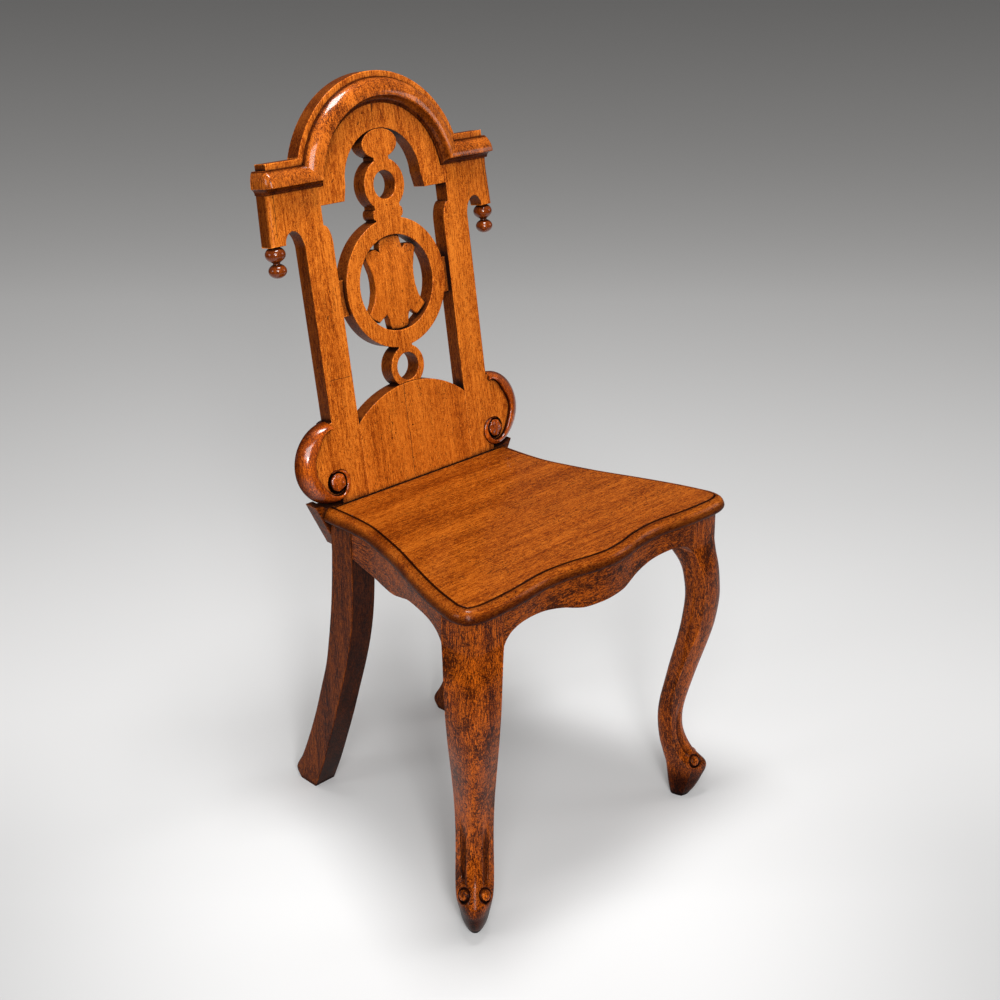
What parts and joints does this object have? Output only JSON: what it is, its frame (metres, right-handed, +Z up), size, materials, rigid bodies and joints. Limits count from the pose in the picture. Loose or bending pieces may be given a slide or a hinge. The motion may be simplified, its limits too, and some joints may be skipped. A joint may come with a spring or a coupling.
{
  "type": "hall chair",
  "caption": "Waxed oak hall chair: raked pierced back under an arched crest, ears with turned pendants, scrolled volutes, shaped board seat, cabriole front legs and swept rear legs.",
  "frame": {"origin": "on the floor, under the middle of the chair's bounding box", "axes": "+X across the seat, to the viewer's right when the viewer faces the chair's front; +Y from the seat's front edge to the back; +Z up. The front faces -Y"},
  "size_m": [0.472, 0.45, 0.9604],
  "materials": {
    "oak_back": "waxed, warm orange brown, grain upright",
    "oak_seat": "waxed and worn, grain across the seat",
    "oak_frame": "waxed, dark red brown",
    "oak_carved": "polished by handling, dark in the hollows",
    "oak_joinery": "raw, unseen",
    "screw_steel": "dull, old"
  },
  "bodies": {
    "root": {"seat_board": "oak_seat", "front_apron": "oak_frame", "side_apron_left": "oak_frame", "side_apron_right": "oak_frame", "front_leg_left": "oak_frame", "front_leg_right": "oak_frame", "rear_leg_left": "oak_frame", "rear_leg_right": "oak_frame", "rear_rail": "oak_frame", "front_glue_block_left": "oak_joinery", "front_glue_block_right": "oak_joinery", "rear_glue_block_left": "oak_joinery", "rear_glue_block_right": "oak_joinery", "front_seat_screw_left": "screw_steel", "front_seat_screw_right": "screw_steel", "rear_seat_screw_left": "screw_steel", "rear_seat_screw_right": "screw_steel", "rail_screw_left_1": "screw_steel", "rail_screw_left_2": "screw_steel", "rail_screw_right_1": "screw_steel", "rail_screw_right_2": "screw_steel", "stile_left": "oak_back", "stile_right": "oak_back", "lower_panel_left": "oak_back", "lower_panel_right": "oak_back", "splat_fretwork": "oak_back", "splat_lug_left": "oak_back", "splat_lug_right": "oak_back", "cartouche": "oak_back", "crest_arch": "oak_back", "ear_block_left": "oak_back", "ear_block_right": "oak_back", "crest_hood_moulding": "oak_carved", "shoulder_moulding_left": "oak_carved", "shoulder_moulding_right": "oak_carved", "pendant_left": "oak_carved", "pendant_right": "oak_carved", "volute_left": "oak_carved", "volute_right": "oak_carved", "back_dowel_1": "oak_joinery", "back_dowel_2": "oak_joinery", "back_dowel_3": "oak_joinery", "back_dowel_4": "oak_joinery", "crest_dowel_left_1": "oak_joinery", "crest_dowel_left_2": "oak_joinery", "crest_dowel_right_1": "oak_joinery", "crest_dowel_right_2": "oak_joinery"}
  },
  "joints": []
}
